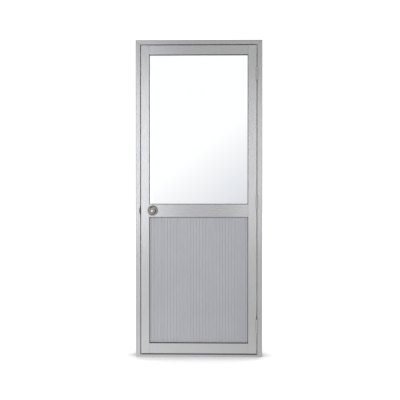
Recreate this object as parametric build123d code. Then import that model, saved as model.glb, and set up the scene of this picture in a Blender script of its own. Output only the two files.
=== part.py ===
# Aluminium door set: a half-glazed leaf with a ribbed lower panel, hung on three butt hinges in its frame.
# Sizes are millimetres. X points right as seen from the pull side, Y points away from that side, Z points up.
# The origin is the middle of the sill's underside.
import math
import os

from build123d import *

# Driving sizes

# Frame
frame_width = 800.0
frame_height = 2000.0
frame_depth = 100.0
head_face = 28.0
latch_jamb_face = 29.2
hinge_jamb_face = 31.4
frame_wall = 2.0
frame_edge_radius = 4.0
frame_inner_radius = 0.8
sill_height = 14.25
sill_bevel = 1.0
stop_projection = 15.0
stop_depth = 22.0
stop_wall = 1.5
stop_edge_radius = 2.0
joint_groove = 0.8

# Wall fixings, four holes down each jamb
fixing_hole_radius = 3.25
fixing_access_radius = 6.0
fixing_back_distance = 17.0
outer_fixing_spacing = 1600.0
inner_fixing_spacing = 560.0

# Clearances round the leaf
latch_gap = 5.1
hinge_gap = 6.0
head_gap = 5.2
sill_gap = 7.0
stop_gap = 5.0

# Leaf
leaf_thickness = 40.0
stile_face = 52.0
top_rail_face = 58.2
lock_rail_face = 81.0
bottom_rail_face = 64.0
lock_height = 924.5
leaf_wall = 1.8
leaf_edge_radius = 1.0
latch_bevel = 1.7
groove_setback = 6.5
groove_width = 11.0
groove_depth = 12.0
edge_cover = 9.0

# Infill
glass_thickness = 5.0
gasket_sight = 3.0
board_count = 7
ribs_per_board = 5
rib_height = 2.0
rib_crest = 7.0
rib_slope = 2.0
board_sheet = 1.5
lap_sheet = 1.2
lap_width = 6.0
lap_root = 3.0
board_joint = 0.4

# Hinges
hinge_length = 82.0
hinge_plate_width = 30.0
hinge_plate = 2.0
hinge_end_distance = 177.5
middle_hinge_height = 980.0
knuckle_count = 5
knuckle_radius = 7.0
knuckle_gap = 1.4
knuckle_chamfer = 1.2
barrel_clearance = 1.0
pin_radius = 3.0
pin_clearance = 0.1
pin_tip_radius = 5.5
pin_tip_height = 3.0
pin_tip_chamfer = 1.5
hinge_screw_radius = 2.4
hinge_screw_head = 4.2
hinge_screws = 3
hinge_screw_stagger = 4.5

# Knob set and latch
knob_backset = 74.0
rose_radius = 33.0
rose_height = 9.0
rose_rim = 3.0
rose_shoulder = 19.5
rose_sheet = 1.6
neck_radius = 12.5
neck_length = 9.0
knob_radius = 26.0
knob_face_radius = 18.5
knob_projection = 62.0
knob_widest = 42.0
knob_neck_fillet = 5.0
dish_depth = 4.0
knob_clearance = 0.6
spindle_radius = 7.0
spindle_reach = 32.0
lock_bore_radius = 21.5
lock_fit = 0.3
key_cylinder_radius = 6.5
key_cylinder_depth = 18.0
keyway_width = 1.6
keyway_height = 8.0
keyway_depth = 3.0
button_radius = 6.0
button_length = 6.0
button_depth = 12.0
latch_plate_height = 57.0
latch_plate_width = 25.0
latch_tube_radius = 11.0
latch_tube_wall = 2.0
bolt_height = 12.0
bolt_width = 10.0
bolt_length = 24.0
strike_height = 57.0
strike_sheet = 1.6
strike_bend = 1.4
strike_reach = 34.0
strike_lip = 7.0
strike_lip_height = 47.0
strike_hole_height = 24.0
strike_hole_width = 16.0

# Worked-out places
doorway_left = -frame_width / 2 + latch_jamb_face
doorway_right = frame_width / 2 - hinge_jamb_face
doorway_width = doorway_right - doorway_left
head_underside = frame_height - head_face
frame_front = -frame_depth / 2
frame_back = frame_depth / 2
leaf_left = doorway_left + latch_gap
leaf_right = doorway_right - hinge_gap
leaf_bottom = sill_height + sill_gap
leaf_top = head_underside - head_gap
leaf_front = frame_front
leaf_back = leaf_front + leaf_thickness
leaf_middle = leaf_front + leaf_thickness / 2
infill_middle = leaf_front + groove_setback + groove_width / 2
stop_front = leaf_back + stop_gap
opening_left = leaf_left + stile_face
opening_right = leaf_right - stile_face
opening_width = opening_right - opening_left
glass_top = leaf_top - top_rail_face
glass_bottom = lock_height + lock_rail_face / 2
panel_top = lock_height - lock_rail_face / 2
panel_bottom = leaf_bottom + bottom_rail_face
panel_thickness = rib_height + board_sheet + lap_sheet
knob_x = leaf_left + knob_backset
latch_edge_x = leaf_left + latch_bevel / 2
latch_lean = math.degrees(math.atan2(latch_bevel, leaf_thickness))
pivot_x = doorway_right - hinge_gap / 2
pivot_y = leaf_front - knuckle_radius - barrel_clearance
fixing_y = frame_back - fixing_back_distance
fixing_middle = frame_height / 2

RIGHT = (1, 0, 0)
LEFT = (-1, 0, 0)
UP = (0, 0, 1)
DOWN = (0, 0, -1)

nodes = {}


def cuboid(x0, x1, y0, y1, z0, z1):
    """Box between two corners."""
    middle = Pos((x0 + x1) / 2, (y0 + y1) / 2, (z0 + z1) / 2)
    return middle * Box(x1 - x0, y1 - y0, z1 - z0)


def rod_x(radius, x0, x1, y, z):
    """Round bar along X."""
    return Pos((x0 + x1) / 2, y, z) * Rot(0, 90, 0) * Cylinder(radius, x1 - x0)


def rod_y(radius, y0, y1, x, z):
    """Round bar along Y."""
    return Pos(x, (y0 + y1) / 2, z) * Rot(90, 0, 0) * Cylinder(radius, y1 - y0)


def extrusion(section, start, across, along, length):
    """Run a section, drawn with x across the face and y from front to back, from a start point."""
    plane = Plane(origin=start, x_dir=across, z_dir=along)
    return extrude(plane * section, amount=length)


def corner_rectangle(x0, x1, y0, y1):
    """Flat rectangle between two corners."""
    return Pos((x0 + x1) / 2, (y0 + y1) / 2) * Rectangle(x1 - x0, y1 - y0)


def vertex_near(section, x, y):
    """The corner of a section that lies nearest a point."""
    return section.vertices().sort_by_distance((x, y, 0))[0]


def front_groove(start, end):
    """Fine V groove along a joint on the front, from one point to another."""
    run = Vector(end) - Vector(start)
    middle = Plane(origin=Vector(start) + run / 2, x_dir=(0, 1, 0), z_dir=run)
    return middle * Rot(0, 0, 45) * Box(joint_groove, joint_groove, run.length)


def frame_section(face):
    """Hollow frame bar of a given face width, with a rounded outer front edge at (0, 0)."""
    outline = corner_rectangle(0, face, 0, frame_depth)
    outline = fillet(vertex_near(outline, 0, 0), frame_edge_radius)
    outline = fillet(vertex_near(outline, face, 0), frame_inner_radius)
    hollow = corner_rectangle(frame_wall, face - frame_wall, frame_wall, frame_depth - frame_wall)
    hollow_radius = max(frame_edge_radius - frame_wall, frame_inner_radius)
    hollow = fillet(vertex_near(hollow, 0, 0), hollow_radius)
    return outline - hollow


def sill_section():
    """Low hollow threshold with both top edges bevelled."""
    outline = corner_rectangle(0, sill_height, 0, frame_depth)
    top_corners = outline.vertices().sort_by(Axis.X)[-2:]
    outline = chamfer(top_corners, sill_bevel)
    hollow = corner_rectangle(frame_wall, sill_height - frame_wall, frame_wall, frame_depth - frame_wall)
    top_corners = hollow.vertices().sort_by(Axis.X)[-2:]
    hollow = chamfer(top_corners, sill_bevel)
    return outline - hollow


def stop_section():
    """Hollow door stop, x away from its seat."""
    outline = corner_rectangle(0, stop_projection, 0, stop_depth)
    free_corners = outline.vertices().sort_by(Axis.X)[-2:]
    outline = fillet(free_corners, stop_edge_radius)
    hollow = corner_rectangle(stop_wall, stop_projection - stop_wall, stop_wall, stop_depth - stop_wall)
    return outline - hollow


def leaf_section(face, grooves_on_both_edges=False, bevel=0.0):
    """Hollow leaf bar with a glazing groove in its inner edge, or in both; its outer edge may lean back."""
    corners = [(0, 0), (face, 0), (face, leaf_thickness), (bevel, leaf_thickness)]
    outline = make_face(Polyline(*corners, close=True))
    hollow = offset(outline, -leaf_wall)
    outline = fillet(outline.vertices(), leaf_edge_radius)
    groove_front = groove_setback
    groove_back = groove_front + groove_width
    lining_front = groove_front - leaf_wall
    lining_back = groove_back + leaf_wall
    floors = [(face - groove_depth, face)]
    if grooves_on_both_edges:
        floors.append((0, groove_depth))
    for x0, x1 in floors:
        outline -= corner_rectangle(x0, x1, groove_front, groove_back)
        hollow -= corner_rectangle(x0 - leaf_wall, x1 + leaf_wall, lining_front, lining_back)
    return outline - hollow


def mitre_plane(side, jamb_face):
    """Plane through both corners of a mitre at the frame's top, its normal up and towards the doorway."""
    corner = (side * frame_width / 2, 0, frame_height)
    return Plane(origin=corner, x_dir=(0, 1, 0), z_dir=(-side * head_face, 0, jamb_face))


def mitre_groove(side, jamb_face):
    """Groove along the mitre on the frame's front."""
    outer = (side * frame_width / 2, frame_front, frame_height)
    inner = (side * (frame_width / 2 - jamb_face), frame_front, head_underside)
    return front_groove(outer, inner)


def drill_fixings(jamb, side, jamb_face):
    """Wall screw holes through the outer wall, with wider access holes in the inner wall."""
    outer_x = side * frame_width / 2
    web_x = outer_x - side * jamb_face / 2
    inner_x = outer_x - side * jamb_face
    for spacing in (outer_fixing_spacing, inner_fixing_spacing):
        for height in (fixing_middle - spacing / 2, fixing_middle + spacing / 2):
            jamb -= rod_x(fixing_hole_radius, min(outer_x, web_x), max(outer_x, web_x), fixing_y, height)
            jamb -= rod_x(fixing_access_radius, min(inner_x, web_x), max(inner_x, web_x), fixing_y, height)
    return jamb


def make_frame():
    """Head and jambs mitred at the top, a sill between the jambs, and a stop on all four sides."""
    latch_mitre = mitre_plane(-1, latch_jamb_face)
    hinge_mitre = mitre_plane(1, hinge_jamb_face)
    latch_groove = mitre_groove(-1, latch_jamb_face)
    hinge_groove = mitre_groove(1, hinge_jamb_face)

    head_start = (-frame_width / 2, frame_front, frame_height)
    head = extrusion(frame_section(head_face), head_start, DOWN, RIGHT, frame_width)
    head = split(head, bisect_by=latch_mitre, keep=Keep.TOP)
    head = split(head, bisect_by=hinge_mitre, keep=Keep.TOP)
    nodes["frame_head"] = head - latch_groove - hinge_groove

    latch_start = (-frame_width / 2, frame_front, 0)
    latch_jamb = extrusion(frame_section(latch_jamb_face), latch_start, RIGHT, UP, frame_height)
    latch_jamb = split(latch_jamb, bisect_by=latch_mitre, keep=Keep.BOTTOM)
    latch_jamb = drill_fixings(latch_jamb, -1, latch_jamb_face)
    nodes["frame_latch_jamb"] = latch_jamb - strike_recess() - latch_groove

    hinge_start = (frame_width / 2, frame_front, frame_height)
    hinge_jamb = extrusion(frame_section(hinge_jamb_face), hinge_start, LEFT, DOWN, frame_height)
    hinge_jamb = split(hinge_jamb, bisect_by=hinge_mitre, keep=Keep.BOTTOM)
    nodes["frame_hinge_jamb"] = drill_fixings(hinge_jamb, 1, hinge_jamb_face) - hinge_groove

    nodes["sill"] = extrusion(sill_section(), (doorway_right, frame_front, 0), UP, LEFT, doorway_width)

    stop = stop_section()
    jamb_stop_length = head_underside - sill_height
    cross_stop_length = doorway_width - 2 * stop_projection
    latch_foot = (doorway_left, stop_front, sill_height)
    hinge_top = (doorway_right, stop_front, head_underside)
    head_stop_start = (doorway_left + stop_projection, stop_front, head_underside)
    sill_stop_start = (doorway_right - stop_projection, stop_front, sill_height)
    nodes["latch_stop"] = extrusion(stop, latch_foot, RIGHT, UP, jamb_stop_length)
    nodes["hinge_stop"] = extrusion(stop, hinge_top, LEFT, DOWN, jamb_stop_length)
    nodes["head_stop"] = extrusion(stop, head_stop_start, DOWN, RIGHT, cross_stop_length)
    nodes["sill_stop"] = extrusion(stop, sill_stop_start, UP, LEFT, cross_stop_length)


def strike_recess():
    """Cut in the latch jamb that lets the strike plate lie flush."""
    half = strike_height / 2 + lock_fit
    return cuboid(
        doorway_left - frame_wall - lock_fit,
        doorway_left + lock_fit,
        frame_front - lock_fit,
        frame_front + strike_reach + lock_fit,
        lock_height - half,
        lock_height + half,
    )


def make_strike():
    """Flush strike plate with a rounded lip that wraps the jamb's front edge."""
    half = strike_height / 2
    plate = cuboid(
        doorway_left - strike_sheet,
        doorway_left,
        frame_front - strike_sheet,
        frame_front + strike_reach,
        lock_height - half,
        lock_height + half,
    )
    plate -= cuboid(
        doorway_left - 2 * strike_sheet,
        doorway_left + strike_sheet,
        leaf_middle - strike_hole_width / 2,
        leaf_middle + strike_hole_width / 2,
        lock_height - strike_hole_height / 2,
        lock_height + strike_hole_height / 2,
    )
    lip_half = strike_lip_height / 2
    lip_radius = (lip_half**2 + strike_lip**2) / (2 * strike_lip)
    lip_middle = doorway_left - strike_lip + lip_radius
    lip = rod_y(lip_radius, frame_front - strike_sheet, frame_front, lip_middle, lock_height)
    lip &= cuboid(
        doorway_left - strike_lip,
        doorway_left,
        frame_front - strike_sheet,
        frame_front,
        lock_height - lip_half,
        lock_height + lip_half,
    )
    plate_front = cuboid(
        doorway_left - 2 * strike_sheet,
        doorway_left + strike_sheet,
        frame_front - 2 * strike_sheet,
        frame_front,
        lock_height - half,
        lock_height + half,
    )
    strike = (plate - plate_front) + lip
    bend_corner = (doorway_left, frame_front - strike_sheet, lock_height)
    bend = strike.edges().filter_by(Axis.Z).sort_by_distance(bend_corner)[0]
    nodes["strike_plate"] = fillet(bend, min(strike_bend, strike_sheet))


def make_leaf_bars():
    """Full-height stiles with three rails butted between them, and a fine groove along each joint."""
    leaf_height = leaf_top - leaf_bottom
    latch_section = leaf_section(stile_face, bevel=latch_bevel)
    latch_stile = extrusion(latch_section, (leaf_left, leaf_front, leaf_bottom), RIGHT, UP, leaf_height)
    hinge_start = (leaf_right, leaf_front, leaf_top)
    hinge_stile = extrusion(leaf_section(stile_face), hinge_start, LEFT, DOWN, leaf_height)
    top_start = (opening_left, leaf_front, leaf_top)
    top_rail = extrusion(leaf_section(top_rail_face), top_start, DOWN, RIGHT, opening_width)
    bottom_start = (opening_right, leaf_front, leaf_bottom)
    bottom_rail = extrusion(leaf_section(bottom_rail_face), bottom_start, UP, LEFT, opening_width)
    lock_start = (opening_right, leaf_front, panel_top)
    lock_rail = extrusion(leaf_section(lock_rail_face, True), lock_start, UP, LEFT, opening_width)

    for x in (opening_left, opening_right):
        top_joint = front_groove((x, leaf_front, glass_top), (x, leaf_front, leaf_top))
        lock_joint = front_groove((x, leaf_front, panel_top), (x, leaf_front, glass_bottom))
        bottom_joint = front_groove((x, leaf_front, leaf_bottom), (x, leaf_front, panel_bottom))
        top_rail -= top_joint
        lock_rail -= lock_joint
        bottom_rail -= bottom_joint
        if x == opening_left:
            latch_stile = latch_stile - top_joint - lock_joint - bottom_joint
        else:
            hinge_stile = hinge_stile - top_joint - lock_joint - bottom_joint

    lock_bore = rod_y(lock_bore_radius, leaf_front - lock_fit, leaf_back + lock_fit, knob_x, lock_height)
    nodes["latch_stile"] = latch_stile - latch_cut()
    nodes["hinge_stile"] = hinge_stile
    nodes["top_rail"] = top_rail
    nodes["lock_rail"] = lock_rail - lock_bore
    nodes["bottom_rail"] = bottom_rail


def infill_block(bottom, top, thickness, cover):
    """Flat block filling the opening between two rails, reaching under their edges by a cover."""
    return cuboid(
        opening_left - cover,
        opening_right + cover,
        infill_middle - thickness / 2,
        infill_middle + thickness / 2,
        bottom - cover,
        top + cover,
    )


def make_gasket(bottom, top, infill):
    """Channel round the edge of an infill, filling the grooves and showing a thin sight line."""
    ring = infill_block(bottom, top, groove_width, groove_depth)
    ring -= infill_block(bottom, top, groove_width, -gasket_sight)
    return ring - infill


def make_glazing():
    """Glass pane in its gasket."""
    pane = infill_block(glass_bottom, glass_top, glass_thickness, edge_cover)
    nodes["glass_pane"] = pane
    nodes["glass_gasket"] = make_gasket(glass_bottom, glass_top, pane)


def board_section(pitch, last):
    """Ribbed board seen from above: x along the panel, y from the rib crests back."""
    width = pitch - board_joint
    rib_pitch = width / ribs_per_board
    front = [(0, rib_height)]
    for rib in range(ribs_per_board):
        centre = (rib + 0.5) * rib_pitch
        front.append((centre - rib_crest / 2 - rib_slope, rib_height))
        front.append((centre - rib_crest / 2, 0))
        front.append((centre + rib_crest / 2, 0))
        front.append((centre + rib_crest / 2 + rib_slope, rib_height))
    front.append((width, rib_height))
    back = [(x, y + board_sheet) for x, y in reversed(front)]
    section = make_face(Polyline(*front, *back, close=True))
    if not last:
        lap_front = rib_height + board_sheet
        section += corner_rectangle(width - lap_root, width + lap_width, lap_front, lap_front + lap_sheet)
    return section


def make_panel():
    """Upright ribbed boards, each lapped behind the next, in their gasket."""
    envelope = infill_block(panel_bottom, panel_top, panel_thickness, edge_cover)
    nodes["panel_gasket"] = make_gasket(panel_bottom, panel_top, envelope)
    pitch = (opening_width + 2 * edge_cover) / board_count
    length = panel_top - panel_bottom + 2 * edge_cover
    for number in range(board_count):
        section = board_section(pitch, number == board_count - 1)
        start_x = opening_left - edge_cover + number * pitch + board_joint / 2
        start = (start_x, infill_middle - panel_thickness / 2, panel_bottom - edge_cover)
        nodes[f"panel_board_{number + 1}"] = extrusion(section, start, RIGHT, UP, length)


def hinge_half(height, side, knuckles):
    """One plate of a butt hinge with its knuckles; side 1 lies on the jamb, side -1 on the stile."""
    plate_outer = pivot_x + side * hinge_gap / 2
    plate_inner = plate_outer - side * hinge_plate
    x0 = min(plate_outer, plate_inner)
    x1 = max(plate_outer, plate_inner)
    base = height - hinge_length / 2
    half = cuboid(x0, x1, leaf_front, leaf_front + hinge_plate_width, base, base + hinge_length)
    pitch = hinge_length / knuckle_count
    web_front = pivot_y + (knuckle_radius + pin_radius) / 2
    for number in knuckles:
        low = base + number * pitch + knuckle_gap / 2
        high = base + (number + 1) * pitch - knuckle_gap / 2
        knuckle = Cylinder(knuckle_radius, high - low)
        knuckle = chamfer(knuckle.edges().filter_by(GeomType.CIRCLE), knuckle_chamfer)
        half += Pos(pivot_x, pivot_y, (low + high) / 2) * knuckle
        half += cuboid(x0, x1, web_front, leaf_front, low, high)
    half -= Pos(pivot_x, pivot_y, height) * Cylinder(pin_radius + pin_clearance, 2 * hinge_length)
    for number in range(hinge_screws):
        z = base + (number + 0.5) * hinge_length / hinge_screws
        stagger = -hinge_screw_stagger if number % 2 else hinge_screw_stagger
        y = leaf_front + hinge_plate_width / 2 + stagger
        sink = Cone(hinge_screw_radius, hinge_screw_head, hinge_plate)
        half -= Pos((x0 + x1) / 2, y, z) * Rot(0, -90 * side, 0) * sink
    return half


def hinge_pin(height):
    """Pin with a button tip at each end."""
    tip_base = hinge_length / 2
    tip = Pos(0, 0, tip_base + pin_tip_height / 2) * Cylinder(pin_tip_radius, pin_tip_height)
    tip = chamfer(tip.edges().filter_by(GeomType.CIRCLE).sort_by(Axis.Z)[-1], pin_tip_chamfer)
    shank = Cylinder(pin_radius, 2 * tip_base)
    return Pos(pivot_x, pivot_y, height) * (shank + tip + Rot(180, 0, 0) * tip)


def make_hinges():
    """Three five-knuckle butt hinges."""
    heights = {
        "top": leaf_top - hinge_end_distance,
        "middle": middle_hinge_height,
        "bottom": leaf_bottom + hinge_end_distance,
    }
    for name, height in heights.items():
        nodes[f"{name}_hinge_frame_plate"] = hinge_half(height, 1, range(0, knuckle_count, 2))
        nodes[f"{name}_hinge_leaf_plate"] = hinge_half(height, -1, range(1, knuckle_count, 2))
        nodes[f"{name}_hinge_pin"] = hinge_pin(height)


def turned(*edges):
    """Solid turned about Y from an outline drawn with x as radius and -y as the way out of the leaf."""
    return revolve(make_face(Curve() + list(edges)), Axis.Y)


def on_front(solid):
    """Set a turned piece on the leaf's front face at the lock."""
    return Pos(knob_x, leaf_front, lock_height) * solid


def on_back(solid):
    """Set a turned piece on the leaf's back face at the lock."""
    return Pos(knob_x, leaf_back, lock_height) * mirror(solid, about=Plane.XZ)


def rose_shape():
    """Pressed cover plate with a domed shoulder and a hole for the knob's neck."""
    hole = neck_radius + knob_clearance
    inner = rose_radius - rose_sheet
    top = -rose_height
    underside = top + rose_sheet
    return turned(
        Line((rose_radius, 0), (rose_radius, -rose_rim)),
        TangentArc((rose_shoulder, top), (rose_radius, -rose_rim), tangent=(1, 0)),
        Line((rose_shoulder, top), (hole, top)),
        Line((hole, top), (hole, underside)),
        Line((hole, underside), (rose_shoulder, underside)),
        Line((rose_shoulder, underside), (inner, -rose_rim)),
        Line((inner, -rose_rim), (inner, 0)),
        Line((inner, 0), (rose_radius, 0)),
    )


def knob_shape(insert_radius, insert_depth):
    """Round knob on a neck, its face dished, bored for its spindle and its centre insert."""
    neck_start = -rose_height + rose_sheet
    neck_end = neck_start - neck_length
    face = -knob_projection
    dish_edge = insert_radius + lock_fit
    dish_floor = face + dish_depth
    insert_floor = face + insert_depth
    bore = spindle_radius + pin_clearance
    bore_floor = -spindle_reach - lock_fit
    widest = (knob_radius, -knob_widest)
    knob = turned(
        Line((bore, neck_start), (neck_radius, neck_start)),
        Line((neck_radius, neck_start), (neck_radius, neck_end)),
        TangentArc(widest, (neck_radius, neck_end), tangent=(0, 1)),
        TangentArc(widest, (knob_face_radius, face), tangent=(0, -1)),
        Line((knob_face_radius, face), (dish_edge, dish_floor)),
        Line((dish_edge, dish_floor), (dish_edge, insert_floor)),
        Line((dish_edge, insert_floor), (0, insert_floor)),
        Line((0, insert_floor), (0, bore_floor)),
        Line((0, bore_floor), (bore, bore_floor)),
        Line((bore, bore_floor), (bore, neck_start)),
    )
    neck_edge = knob.edges().filter_by(GeomType.CIRCLE).sort_by_distance((neck_radius, neck_end, 0))[0]
    return fillet(neck_edge, knob_neck_fillet)


def centre_insert(radius, depth, stand_out):
    """Round insert in the middle of a knob, standing out past its face."""
    inner_end = -knob_projection + depth - lock_fit
    return rod_y(radius, -knob_projection - stand_out, inner_end, 0, 0)


def make_knob_set():
    """Knobs, roses, spindle and the lock body between them."""
    rose = rose_shape()
    nodes["front_rose"] = on_front(rose)
    nodes["back_rose"] = on_back(rose)
    nodes["front_knob"] = on_front(knob_shape(key_cylinder_radius, key_cylinder_depth))
    nodes["back_knob"] = on_back(knob_shape(button_radius, button_depth))

    cylinder = centre_insert(key_cylinder_radius, key_cylinder_depth, 0)
    keyway = Pos(0, -knob_projection, 0) * Box(keyway_width, 2 * keyway_depth, keyway_height)
    nodes["key_cylinder"] = on_front(cylinder - keyway)
    nodes["lock_button"] = on_back(centre_insert(button_radius, button_depth, button_length))

    spindle_front = leaf_front - spindle_reach
    spindle_back = leaf_back + spindle_reach
    nodes["knob_spindle"] = rod_y(spindle_radius, spindle_front, spindle_back, knob_x, lock_height)
    lock_body = rod_y(lock_bore_radius - lock_fit, leaf_front, leaf_back, knob_x, lock_height)
    spindle_bore = rod_y(spindle_radius + lock_fit, leaf_front, leaf_back, knob_x, lock_height)
    nodes["lock_body"] = lock_body - spindle_bore


def in_latch_edge(depth, width, height, stand_out=0.0):
    """Block set into the leaning latch edge, from the edge's surface, or proud of it, to a depth."""
    block = Pos((depth - stand_out) / 2, 0, 0) * Box(depth + stand_out, width, height)
    return Pos(latch_edge_x, leaf_middle, lock_height) * Rot(0, 0, -latch_lean) * block


def latch_cut():
    """Cut through the latch stile for the faceplate and the latch tube."""
    tube_radius = latch_tube_radius + lock_fit
    tube = rod_x(tube_radius, latch_edge_x, opening_left + lock_fit, leaf_middle, lock_height)
    plate_width = latch_plate_width + 2 * lock_fit
    plate_height = latch_plate_height + 2 * lock_fit
    return in_latch_edge(leaf_wall, plate_width, plate_height, lock_fit) + tube


def make_latch():
    """Tubular latch from the leaf's edge to the lock body, its bolt drawn back flush with its faceplate."""
    plate = in_latch_edge(leaf_wall, latch_plate_width, latch_plate_height)
    tube_start = latch_edge_x + leaf_wall / 2
    bore_start = leaf_left + latch_bevel + leaf_wall
    bore_radius = latch_tube_radius - latch_tube_wall
    tube_end = knob_x - lock_bore_radius
    tube = rod_x(latch_tube_radius, tube_start, tube_end, leaf_middle, lock_height)
    tube_bore = rod_x(bore_radius, bore_start, tube_end, leaf_middle, lock_height)
    hole_depth = 2 * leaf_wall + latch_bevel
    hole_width = bolt_width + 2 * lock_fit
    hole_height = bolt_height + 2 * lock_fit
    bolt_hole = in_latch_edge(hole_depth, hole_width, hole_height, lock_fit)
    nodes["latch_case"] = plate + (tube - tube_bore) - bolt_hole
    nodes["latch_bolt"] = in_latch_edge(bolt_length, bolt_width, bolt_height)


make_frame()
make_strike()
make_leaf_bars()
make_glazing()
make_panel()
make_hinges()
make_knob_set()
make_latch()

os.makedirs("parts", exist_ok=True)
for name, solid in nodes.items():
    export_step(solid, f"parts/{name}.step")
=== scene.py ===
import math

import bmesh
import bpy
from mathutils import Matrix, Vector
from mathutils.geometry import tessellate_polygon


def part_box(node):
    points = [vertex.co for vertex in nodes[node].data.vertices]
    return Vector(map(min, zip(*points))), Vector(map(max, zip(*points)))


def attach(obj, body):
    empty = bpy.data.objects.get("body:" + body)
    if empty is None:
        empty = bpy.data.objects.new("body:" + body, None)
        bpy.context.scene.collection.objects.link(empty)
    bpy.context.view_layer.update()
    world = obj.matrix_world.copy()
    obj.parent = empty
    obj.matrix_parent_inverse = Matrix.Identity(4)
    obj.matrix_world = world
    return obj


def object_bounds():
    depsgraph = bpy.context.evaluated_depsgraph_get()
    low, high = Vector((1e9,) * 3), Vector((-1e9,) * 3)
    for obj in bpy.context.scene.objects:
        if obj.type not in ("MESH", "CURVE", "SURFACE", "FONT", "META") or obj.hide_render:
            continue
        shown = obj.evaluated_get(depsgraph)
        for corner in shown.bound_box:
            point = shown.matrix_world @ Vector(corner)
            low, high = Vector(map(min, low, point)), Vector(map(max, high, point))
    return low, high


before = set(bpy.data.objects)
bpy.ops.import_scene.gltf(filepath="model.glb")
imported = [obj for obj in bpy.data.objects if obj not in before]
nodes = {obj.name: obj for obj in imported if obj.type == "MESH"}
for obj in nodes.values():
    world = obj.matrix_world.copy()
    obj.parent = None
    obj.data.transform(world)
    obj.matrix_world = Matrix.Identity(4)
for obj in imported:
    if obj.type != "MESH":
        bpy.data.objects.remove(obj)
cad_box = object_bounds()

# Camera: places in metres, lens and sensor in millimetres
camera_place = Vector((0.071, -4.0, 1.032))
camera_aim = Vector((0.007, -0.05, 0.992))
camera_lens = 56.35
camera_sensor = 36.0

# Floor and sky: sizes in metres. A lift is light that is added to what is seen, where 1 in all is white.
# The lift that the metal mirrors changes from left to right between two places across the door.
floor_half = 30.0
floor_drop = 0.0005
floor_colour = (0.9, 0.9, 0.9, 1.0)
floor_lift = 0.36
floor_mirror_lift = (0.5, 0.14)
floor_mirror_fade = (-0.5, 0.5)
sky_colour = (1.0, 1.0, 1.0, 1.0)
sky_strength = 1.0
sky_lift = 0.16

# Shadows of the door on the floor: reach in metres, and the power that deepens them
contact_shadow = (0.11, 3.5)
wide_shadow = (0.32, 0.9)

# Lamps: places and sizes in metres, power in watts
lamp_aim = (0.0, 0.0, 1.2)
left_lamp_place = (-0.73, -3.0, 1.45)
left_lamp_size = (0.34, 1.78)
left_lamp_power = 6.3
left_lamp_colour = (0.93, 0.94, 1.0)
right_lamp_place = (0.64, -3.0, 1.34)
right_lamp_size = (0.28, 1.6)
right_lamp_power = 3.0
right_lamp_colour = (1.0, 1.0, 1.0)

# Cards that the metal mirrors: places in metres, glow as a share of white. The floor card's glow changes from
# left to right between two places across the door.
flag_x = 1.6
flag_reach = (-2.2, 0.4)
flag_height = 2.4
flag_glow = 0.85
reflector_x = -2.2
reflector_reach = (-1.6, 0.2)
reflector_height = 2.4
reflector_glow = 1.6
ceiling_half_width = 2.0
ceiling_reach = (-1.6, 0.5)
ceiling_height = 3.0
ceiling_glow = 0.3
high_card_x = (-1.0, -0.5)
high_card_y = -3.0
high_card_z = (2.45, 3.1)
high_card_glow = 1.45
floor_card_x = (-0.9, 0.9)
floor_card_y = (-0.8, -0.051)
floor_card_fade = (-0.4, 0.4)
floor_card_glow = (1.54, 1.12)

# Backdrop behind the glass, in metres, which fades along a direction between two distances
backdrop_y = 1.0
backdrop_half_width = 2.5
backdrop_height = 3.0
backdrop_white = (1.0, 1.0, 1.0, 1.0)
backdrop_blue = (0.705, 0.73, 0.77, 1.0)
fade_direction = (0.62, 0.0, -0.78)
fade_start = -1.07
fade_end = -0.55

# Finishes, as linear colours
# The frame is painted darker than the leaf: painted shade on the same aluminium.
frame_shaded_colour = (0.362, 0.362, 0.369)
# The stops are painted paler than the frame: painted light in the gap round the leaf.
stop_lightened_colour = (0.58, 0.58, 0.59)
leaf_colour = (0.385, 0.385, 0.391)
# The rails, and the lock rail most, are painted darker than the stiles: painted shade on the same aluminium.
rail_shaded_colour = (0.375, 0.375, 0.381)
lock_rail_shaded_colour = (0.349, 0.349, 0.355)
panel_colour = (0.367, 0.369, 0.393)
# The knob's nickel is painted darker than bare nickel: painted shade for the dark room it mirrors.
nickel_shaded_colour = (0.27, 0.26, 0.245)
cylinder_colour = (0.47, 0.46, 0.44)
steel_colour = (0.38, 0.38, 0.38)
# The strike plate is coloured near black.
strike_colour = (0.12, 0.115, 0.11)
rubber_colour = (0.035, 0.035, 0.038)
glass_colour = (0.99, 0.995, 1.0, 1.0)

# Roughness, from 0 for a mirror to 1 for matt
jamb_roughness = 0.29
head_roughness = 0.22
sill_roughness = 0.34
stop_roughness = 0.2
stile_roughness = 0.29
rail_roughness = 0.22
lock_rail_roughness = 0.27
panel_roughness = 0.45
nickel_roughness = 0.24
cylinder_roughness = 0.28
steel_roughness = 0.32
strike_roughness = 0.36
rubber_roughness = (0.6, 0.8)

# Grain of the finishes. A noise is its scale, in cells to a metre, and its detail. A relief is its strength
# and its depth in metres. Tints are shares of the colour and sheens are roughness, both either way.
noise_middle = (0.3, 0.7)
drawn_lines = (700.0, 2.0)
drawn_stretch = 0.012
drawn_clouds = (5.0, 3.0)
drawn_tint = 0.02
drawn_sheen = 0.03
drawn_relief = (0.12, 0.0002)
turned_scale = 420.0
turned_wobble = 1.5
turned_detail = 2.0
turned_clouds = (60.0, 3.0)
turned_tint = 0.05
turned_sheen = 0.04
turned_relief = (0.08, 0.0001)
turned_stretch = 0.7
plated_grain = (900.0, 2.0)
plated_stretch = (1.0, 1.0, 0.2)
plated_clouds = (40.0, 3.0)
plated_tint = 0.06
plated_sheen = 0.05
plated_relief = (0.1, 0.0001)
rubber_dust = (70.0, 4.0)
rubber_tint = 0.35
rubber_relief = (0.1, 0.0002)
glass_ripple = (3.0, 1.0)
glass_relief = (0.02, 0.001)
glass_index = 1.5

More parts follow.
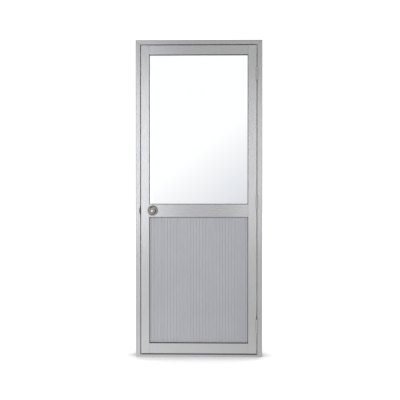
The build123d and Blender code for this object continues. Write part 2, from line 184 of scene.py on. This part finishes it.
# Screws, in metres, with shares of a screw's radius
screw_sides = 24
screw_depth = 0.0018
screw_shank_share = 0.6
screw_flat_share = 0.75
recess_length_share = 0.46
recess_width_share = 0.13
recess_depth = 0.0009
hinge_screws = 3
hinge_screw_radius = 0.0040
hinge_screw_crown = 0.0
hinge_screw_stagger = 0.0045
plate_screw_radius = 0.0036
plate_screw_crown = 0.0005
plate_screw_spacing = 0.042
rose_screw_radius = 0.0026
rose_screw_circle = 0.0163

# Fittings that the screws hold: the hinges' names, and sizes in metres
hinge_names = ("top", "middle", "bottom")
hinge_plate = 0.002
hinge_plate_width = 0.030
latch_bevel = 0.0017

# Places and sizes read from the frame
ground = cad_box[0].z
leaf_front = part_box("hinge_stile")[0][1]
leaf_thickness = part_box("hinge_stile")[1][1] - leaf_front
lock_axis = (Vector(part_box("front_rose")[0]) + Vector(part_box("front_rose")[1])) / 2


def new_material(name):
    """Material with one Principled shader; returns it with its node tree and the shader."""
    material = bpy.data.materials.new(name)
    material.use_nodes = True
    tree = material.node_tree
    return material, tree, tree.nodes["Principled BSDF"]


def bare_material(name):
    """Material with nothing but its output; returns it with its node tree and the output's surface."""
    material = bpy.data.materials.new(name)
    material.use_nodes = True
    tree = material.node_tree
    tree.nodes.clear()
    out = tree.nodes.new("ShaderNodeOutputMaterial")
    return material, tree, out.inputs["Surface"]


def set_inputs(node, **values):
    """Set some inputs of a node; underscores in names stand for spaces."""
    for key, value in values.items():
        node.inputs[key.replace("_", " ")].default_value = value


def link_inputs(tree, node, **sources):
    """Link sources to some inputs of a node; underscores in names stand for spaces."""
    for key, source in sources.items():
        tree.links.new(source, node.inputs[key.replace("_", " ")])


def add_node(tree, kind, **values):
    """New node with some inputs set."""
    node = tree.nodes.new(kind)
    set_inputs(node, **values)
    return node


def object_place(tree, scale=(1.0, 1.0, 1.0), offset=(0.0, 0.0, 0.0)):
    """Object coordinates, stretched and shifted."""
    place = tree.nodes.new("ShaderNodeTexCoord")
    mapping = add_node(tree, "ShaderNodeMapping", Scale=scale, Location=offset)
    link_inputs(tree, mapping, Vector=place.outputs["Object"])
    return mapping.outputs["Vector"]


def noise(tree, place, scale_and_detail):
    """Plain noise between 0 and 1."""
    scale, detail = scale_and_detail
    node = add_node(tree, "ShaderNodeTexNoise", Scale=scale, Detail=detail)
    link_inputs(tree, node, Vector=place)
    return node.outputs["Fac"]


def spread(tree, value, low, high):
    """Stretch the middle of a noise over a range."""
    start, end = noise_middle
    node = add_node(tree, "ShaderNodeMapRange", From_Min=start, From_Max=end, To_Min=low, To_Max=high)
    link_inputs(tree, node, Value=value)
    return node.outputs["Result"]


def mix_colours(tree, value, first, second):
    """Colour that goes from one to another as a value goes from 0 to 1."""
    mix = tree.nodes.new("ShaderNodeMix")
    mix.data_type = "RGBA"
    set_inputs(mix, A=first, B=second)
    link_inputs(tree, mix, Factor=value)
    return mix.outputs["Result"]


def tint(tree, value, colour, share):
    """Colour that varies by a share either way with a noise."""
    darker = (*[part * (1 - share) for part in colour], 1)
    paler = (*[part * (1 + share) for part in colour], 1)
    return mix_colours(tree, spread(tree, value, 0.0, 1.0), darker, paler)


def bump(tree, height, relief):
    """Surface relief from a height."""
    strength, depth = relief
    node = add_node(tree, "ShaderNodeBump", Strength=strength, Distance=depth)
    link_inputs(tree, node, Height=height)
    return node.outputs["Normal"]


def drawn_metal(name, colour, along, roughness):
    """Satin anodised extrusion: faint die lines along the bar and slow clouds in its colour."""
    material, tree, shader = new_material(name)
    stretch = [1.0, 1.0, 1.0]
    stretch["XYZ".index(along)] = drawn_stretch
    lines = noise(tree, object_place(tree, stretch), drawn_lines)
    clouds = noise(tree, object_place(tree), drawn_clouds)
    link_inputs(
        tree, shader,
        Base_Color=tint(tree, clouds, colour, drawn_tint),
        Roughness=spread(tree, lines, roughness - drawn_sheen, roughness + drawn_sheen),
        Normal=bump(tree, lines, drawn_relief),
    )
    set_inputs(shader, Metallic=1.0)
    return material


def turned_metal(name, colour, roughness):
    """Satin plated metal with fine rings left by turning it about the lock's axis."""
    material, tree, shader = new_material(name)
    rings = add_node(
        tree, "ShaderNodeTexWave", Scale=turned_scale, Distortion=turned_wobble, Detail=turned_detail)
    rings.wave_type = "RINGS"
    rings.rings_direction = "Y"
    link_inputs(tree, rings, Vector=object_place(tree, offset=tuple(-lock_axis)))
    around = tree.nodes.new("ShaderNodeTangent")
    around.direction_type = "RADIAL"
    around.axis = "Y"
    clouds = noise(tree, object_place(tree), turned_clouds)
    link_inputs(
        tree, shader,
        Base_Color=tint(tree, clouds, colour, turned_tint),
        Roughness=spread(tree, clouds, roughness - turned_sheen, roughness + turned_sheen),
        Normal=bump(tree, rings.outputs["Fac"], turned_relief),
        Tangent=around.outputs["Tangent"],
    )
    set_inputs(shader, Metallic=1.0, Anisotropic=turned_stretch)
    return material


def plated_metal(name, colour, roughness):
    """Rolled and plated sheet with a fine uneven grain."""
    material, tree, shader = new_material(name)
    grain = noise(tree, object_place(tree, plated_stretch), plated_grain)
    clouds = noise(tree, object_place(tree), plated_clouds)
    link_inputs(
        tree, shader,
        Base_Color=tint(tree, clouds, colour, plated_tint),
        Roughness=spread(tree, grain, roughness - plated_sheen, roughness + plated_sheen),
        Normal=bump(tree, grain, plated_relief),
    )
    set_inputs(shader, Metallic=1.0)
    return material


def gasket_rubber():
    """Dull black rubber, a little paler where it is dusty."""
    material, tree, shader = new_material("gasket_rubber")
    dust = noise(tree, object_place(tree), rubber_dust)
    link_inputs(
        tree, shader,
        Base_Color=tint(tree, dust, rubber_colour, rubber_tint),
        Roughness=spread(tree, dust, *rubber_roughness),
        Normal=bump(tree, dust, rubber_relief),
    )
    return material


def clear_glass():
    """Clear float glass with the faintest ripple."""
    material, tree, shader = new_material("clear_glass")
    ripple = noise(tree, object_place(tree), glass_ripple)
    link_inputs(tree, shader, Normal=bump(tree, ripple, glass_relief))
    set_inputs(shader, Base_Color=glass_colour, Roughness=0.0, IOR=glass_index, Transmission_Weight=1.0)
    return material


def dress(material, *names):
    """Give CAD nodes a material."""
    for name in names:
        mesh = nodes[name].data
        mesh.materials.clear()
        mesh.materials.append(material)


def dress_bars():
    """Finish the bars and boards, each drawn along its own length."""
    boards = [name for name in nodes if name.startswith("panel_board")]
    jambs = ["frame_latch_jamb", "frame_hinge_jamb"]
    finishes = (
        ("frame_aluminium_upright", frame_shaded_colour, "Z", jamb_roughness, jambs),
        ("frame_aluminium_head", frame_shaded_colour, "X", head_roughness, ["frame_head"]),
        ("frame_aluminium_level", frame_shaded_colour, "X", sill_roughness, ["sill"]),
        ("stop_aluminium_upright", stop_lightened_colour, "Z", stop_roughness, ["latch_stop", "hinge_stop"]),
        ("stop_aluminium_level", stop_lightened_colour, "X", stop_roughness, ["head_stop", "sill_stop"]),
        ("leaf_aluminium_upright", leaf_colour, "Z", stile_roughness, ["latch_stile", "hinge_stile"]),
        ("leaf_aluminium_level", rail_shaded_colour, "X", rail_roughness, ["top_rail", "bottom_rail"]),
        ("leaf_aluminium_lock", lock_rail_shaded_colour, "X", lock_rail_roughness, ["lock_rail"]),
        ("panel_aluminium", panel_colour, "Z", panel_roughness, boards),
    )
    for name, colour, along, roughness, bars in finishes:
        dress(drawn_metal(name, colour, along, roughness), *bars)


def dress_fittings():
    """Finish the glass, gaskets, lock and hinges, and add their screws."""
    nickel = turned_metal("satin_nickel", nickel_shaded_colour, nickel_roughness)
    cylinder = turned_metal("bright_nickel", cylinder_colour, cylinder_roughness)
    steel = plated_metal("plated_steel", steel_colour, steel_roughness)
    dress(nickel, "front_knob", "back_knob", "front_rose", "back_rose", "knob_spindle")
    dress(cylinder, "key_cylinder", "lock_button")
    dress(steel, "latch_case", "latch_bolt", "lock_body")
    dress(plated_metal("near_black_strike", strike_colour, strike_roughness), "strike_plate")
    for hinge in hinge_names:
        dress(steel, *[f"{hinge}_hinge_{piece}" for piece in ("frame_plate", "leaf_plate", "pin")])
    dress(gasket_rubber(), "glass_gasket", "panel_gasket")
    dress(clear_glass(), "glass_pane")
    nodes["glass_pane"].visible_shadow = False
    add_hinge_screws(steel)
    add_lock_screws(steel)


def screw_mesh(shape, place, outward, radius, crown):
    """Add a countersunk screw to a mesh: its rim lies at a place, its cross recess faces outward."""
    turn = outward.to_track_quat("Z", "Y").to_matrix().to_4x4()
    frame_of_screw = Matrix.Translation(place) @ turn

    def ring(size, height):
        """Circle of points round the screw's axis."""
        angles = [2 * math.pi * step / screw_sides for step in range(screw_sides)]
        return [(size * math.cos(angle), size * math.sin(angle), height) for angle in angles]

    def cross(height):
        """Outline of the cross recess."""
        long = recess_length_share * radius
        wide = recess_width_share * radius
        arm = [(long, -wide), (long, wide), (wide, wide)]
        points = []
        for quarter in range(4):
            spin = Matrix.Rotation(quarter * math.pi / 2, 2)
            points += [(*(spin @ Vector(point)), height) for point in arm]
        return points

    def add(points):
        """Put points into the mesh in the screw's own frame."""
        return [shape.verts.new(frame_of_screw @ Vector(point)) for point in points]

    def band(low, high):
        """Faces between two loops with as many points."""
        for index in range(len(low)):
            after = (index + 1) % len(low)
            shape.faces.new((low[index], low[after], high[after], high[index]))

    tip = add(ring(screw_shank_share * radius, -screw_depth))
    rim = add(ring(radius, 0))
    top = add(ring(screw_flat_share * radius, crown))
    mouth = add(cross(crown))
    floor_of_recess = add(cross(crown - recess_depth))
    shape.faces.new(list(reversed(tip)))
    band(tip, rim)
    band(rim, top)
    # The flat top is filled between its edge and the mouth of the recess
    loops = [ring(screw_flat_share * radius, 0), cross(0)]
    points_of_top = top + mouth
    for corners in tessellate_polygon([[Vector(point) for point in loop] for loop in loops]):
        face = [points_of_top[corner] for corner in corners]
        first_edge = face[1].co - face[0].co
        second_edge = face[2].co - face[0].co
        if first_edge.cross(second_edge).dot(outward) < 0:
            face.reverse()
        shape.faces.new(face)
    band(mouth, floor_of_recess)
    shape.faces.new(floor_of_recess)


def add_screws(name, body, material, places, outward, radius, crown):
    """One piece with a screw at each place, riding on a body."""
    shape = bmesh.new()
    for place in places:
        screw_mesh(shape, Vector(place), Vector(outward), radius, crown)
    mesh = bpy.data.meshes.new(name)
    shape.to_mesh(mesh)
    shape.free()
    mesh.materials.append(material)
    piece = bpy.data.objects.new(name, mesh)
    bpy.context.scene.collection.objects.link(piece)
    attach(piece, body)


def add_hinge_screws(material):
    """Staggered screws in each hinge plate, their heads in the gap between the plates."""
    radius = hinge_screw_radius
    crown = hinge_screw_crown
    jamb_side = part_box("frame_hinge_jamb")[0][0]
    leaf_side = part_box("hinge_stile")[1][0]
    for hinge in hinge_names:
        for body, side, seat in (("frame", 1, jamb_side), ("leaf", -1, leaf_side)):
            low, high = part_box(f"{hinge}_hinge_{body}_plate")
            face = seat - side * hinge_plate
            places = []
            for number in range(hinge_screws):
                stagger = -hinge_screw_stagger if number % 2 else hinge_screw_stagger
                depth = leaf_front + hinge_plate_width / 2 + stagger
                height = low[2] + (number + 0.5) * (high[2] - low[2]) / hinge_screws
                places.append((face, depth, height))
            name = f"{hinge}_hinge_{body}_screws"
            add_screws(name, body, material, places, (-side, 0, 0), radius, crown)


def add_lock_screws(material):
    """Two screws each in the strike plate, the latch's faceplate and the inside rose."""
    crown = plate_screw_crown
    case_low, case_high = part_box("latch_case")
    edge_y = (case_low[1] + case_high[1]) / 2
    heights = [lock_axis.z + side * plate_screw_spacing / 2 for side in (-1, 1)]
    strike_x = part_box("strike_plate")[1][0]
    places = [(strike_x, edge_y, height) for height in heights]
    add_screws("strike_screws", "frame", material, places, (1, 0, 0), plate_screw_radius, crown)

    # The faceplate leans with the bevel of the leaf's edge
    case_x = case_low[0] + latch_bevel * (case_high[1] - case_low[1]) / leaf_thickness / 2
    lean = Vector((-1, 0, 0)) @ Matrix.Rotation(math.atan2(latch_bevel, leaf_thickness), 3, "Z")
    places = [(case_x, edge_y, height) for height in heights]
    add_screws("latch_screws", "leaf", material, places, lean, plate_screw_radius, crown)

    rose_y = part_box("back_rose")[1][1]
    places = [(lock_axis.x + side * rose_screw_circle, rose_y, lock_axis.z) for side in (-1, 1)]
    add_screws("rose_screws", "leaf", material, places, (0, 1, 0), rose_screw_radius, crown)


def level_corners(across, deep, height):
    """Corners of a level rectangle."""
    left, right = across
    near, far = deep
    return [(left, near, height), (right, near, height), (right, far, height), (left, far, height)]


def facing_corners(across, y, upright):
    """Corners of an upright rectangle that faces the front or the back."""
    left, right = across
    bottom, top = upright
    return [(left, y, bottom), (right, y, bottom), (right, y, top), (left, y, top)]


def side_corners(x, deep, height):
    """Corners of an upright rectangle on the ground beside the door."""
    near, far = deep
    return [(x, near, ground), (x, far, ground), (x, far, height), (x, near, height)]


def stage_piece(name, corners, material):
    """Flat four-cornered piece of the studio."""
    mesh = bpy.data.meshes.new(name)
    mesh.from_pydata(corners, [], [(0, 1, 2, 3)])
    mesh.materials.append(material)
    piece = bpy.data.objects.new(name, mesh)
    bpy.context.scene.collection.objects.link(piece)
    return piece


def work_out(tree, operation, first, second):
    """Math node on two values, each a socket or a number."""
    node = tree.nodes.new("ShaderNodeMath")
    node.operation = operation
    for value, socket in zip((first, second), node.inputs):
        if isinstance(value, float):
            socket.default_value = value
        else:
            tree.links.new(value, socket)
    return node.outputs[0]


def fall_across(tree, fade, levels):
    """Level that changes evenly from left to right between two places across the door."""
    start, end = fade
    first, last = levels
    apart = tree.nodes.new("ShaderNodeSeparateXYZ")
    fall = add_node(tree, "ShaderNodeMapRange", From_Min=start, From_Max=end, To_Min=first, To_Max=last)
    link_inputs(tree, apart, Vector=object_place(tree))
    link_inputs(tree, fall, Value=apart.outputs["X"])
    return fall.outputs["Result"]


def make_floor():
    """Pale floor that takes the door's shadow and shows white to the camera, in metal and through glass."""
    material, tree, surface = bare_material("floor")
    path = tree.nodes.new("ShaderNodeLightPath")
    seen = work_out(tree, "MULTIPLY", path.outputs["Is Camera Ray"], floor_lift)
    for reach, power in (contact_shadow, wide_shadow):
        near = add_node(tree, "ShaderNodeAmbientOcclusion", Distance=reach)
        seen = work_out(tree, "MULTIPLY", seen, work_out(tree, "POWER", near.outputs["AO"], power))
    mirrored = work_out(tree, "ADD", path.outputs["Is Glossy Ray"], path.outputs["Is Transmission Ray"])
    mirrored = work_out(tree, "MULTIPLY", mirrored, fall_across(tree, floor_mirror_fade, floor_mirror_lift))
    matt = add_node(tree, "ShaderNodeBsdfDiffuse", Color=floor_colour)
    lift = tree.nodes.new("ShaderNodeEmission")
    both = tree.nodes.new("ShaderNodeAddShader")
    link_inputs(tree, lift, Strength=work_out(tree, "ADD", seen, mirrored))
    tree.links.new(matt.outputs[0], both.inputs[0])
    tree.links.new(lift.outputs[0], both.inputs[1])
    tree.links.new(both.outputs[0], surface)
    span = (-floor_half, floor_half)
    stage_piece("floor", level_corners(span, span, ground - floor_drop), material)


def make_sky():
    """Even white surroundings, shown to the camera a little brighter, nearer the floor's level."""
    world = bpy.data.worlds.new("studio")
    world.use_nodes = True
    tree = world.node_tree
    background = tree.nodes["Background"]
    path = tree.nodes.new("ShaderNodeLightPath")
    seen = work_out(tree, "MULTIPLY", path.outputs["Is Camera Ray"], sky_lift)
    link_inputs(tree, background, Strength=work_out(tree, "ADD", seen, sky_strength))
    set_inputs(background, Color=sky_colour)
    bpy.context.scene.world = world


def glowing_card(name, corners, ray):
    """Card that shines by itself and shows to one kind of ray; returns its node tree and shader."""
    material, tree, surface = bare_material(name)
    glow = tree.nodes.new("ShaderNodeEmission")
    tree.links.new(glow.outputs[0], surface)
    card = stage_piece(name, corners, material)
    for kind in ("camera", "diffuse", "glossy", "transmission", "shadow", "volume_scatter"):
        setattr(card, f"visible_{kind}", kind == ray)
    return tree, glow


def mirrored_card(name, corners, level):
    """Even card that shows only as a reflection in the metal."""
    _, glow = glowing_card(name, corners, "glossy")
    set_inputs(glow, Strength=level)


def make_cards():
    """Cards that model the metal: grey on the right and overhead, bright on the left and the floor."""
    mirrored_card("right_flag", side_corners(flag_x, flag_reach, flag_height), flag_glow)
    left_side = side_corners(reflector_x, reflector_reach, reflector_height)
    mirrored_card("left_reflector", left_side, reflector_glow)
    ceiling_x = (-ceiling_half_width, ceiling_half_width)
    mirrored_card("dark_ceiling", level_corners(ceiling_x, ceiling_reach, ceiling_height), ceiling_glow)
    mirrored_card("high_card", facing_corners(high_card_x, high_card_y, high_card_z), high_card_glow)
    on_floor = level_corners(floor_card_x, floor_card_y, ground)
    tree, glow = glowing_card("floor_card", on_floor, "glossy")
    link_inputs(tree, glow, Strength=fall_across(tree, floor_card_fade, floor_card_glow))


def make_backdrop():
    """Backdrop seen through the glass: white, fading to a pale blue grey at the lower right."""
    across = (-backdrop_half_width, backdrop_half_width)
    corners = facing_corners(across, backdrop_y, (ground, backdrop_height))
    tree, glow = glowing_card("backdrop", corners, "transmission")
    slope = tree.nodes.new("ShaderNodeVectorMath")
    slope.operation = "DOT_PRODUCT"
    slope.inputs[1].default_value = fade_direction
    tree.links.new(object_place(tree), slope.inputs[0])
    fade = add_node(tree, "ShaderNodeMapRange", From_Min=fade_start, From_Max=fade_end)
    link_inputs(tree, fade, Value=slope.outputs["Value"])
    colour = mix_colours(tree, fade.outputs["Result"], backdrop_white, backdrop_blue)
    link_inputs(tree, glow, Color=colour)


def make_lamp(name, place, size, power, colour):
    """Soft rectangular lamp aimed at the door."""
    data = bpy.data.lights.new(name, "AREA")
    data.shape = "RECTANGLE"
    data.size, data.size_y = size
    data.energy = power
    data.color = colour
    lamp = bpy.data.objects.new(name, data)
    lamp.location = place
    lamp.rotation_euler = (Vector(lamp_aim) - Vector(place)).to_track_quat("-Z", "Y").to_euler()
    lamp.visible_camera = False
    lamp.visible_transmission = False
    bpy.context.scene.collection.objects.link(lamp)


def make_camera():
    """Camera at the photograph's viewing angle."""
    data = bpy.data.cameras.new("camera")
    data.lens = camera_lens
    data.sensor_width = camera_sensor
    data.sensor_fit = "HORIZONTAL"
    camera = bpy.data.objects.new("camera", data)
    camera.location = camera_place
    camera.rotation_euler = (camera_aim - camera_place).to_track_quat("-Z", "Y").to_euler()
    bpy.context.scene.collection.objects.link(camera)
    bpy.context.scene.camera = camera


dress_bars()
dress_fittings()
make_floor()
make_sky()
make_cards()
make_backdrop()
make_lamp("left_lamp", left_lamp_place, left_lamp_size, left_lamp_power, left_lamp_colour)
make_lamp("right_lamp", right_lamp_place, right_lamp_size, right_lamp_power, right_lamp_colour)
make_camera()
bpy.context.scene.view_settings.view_transform = "Standard"
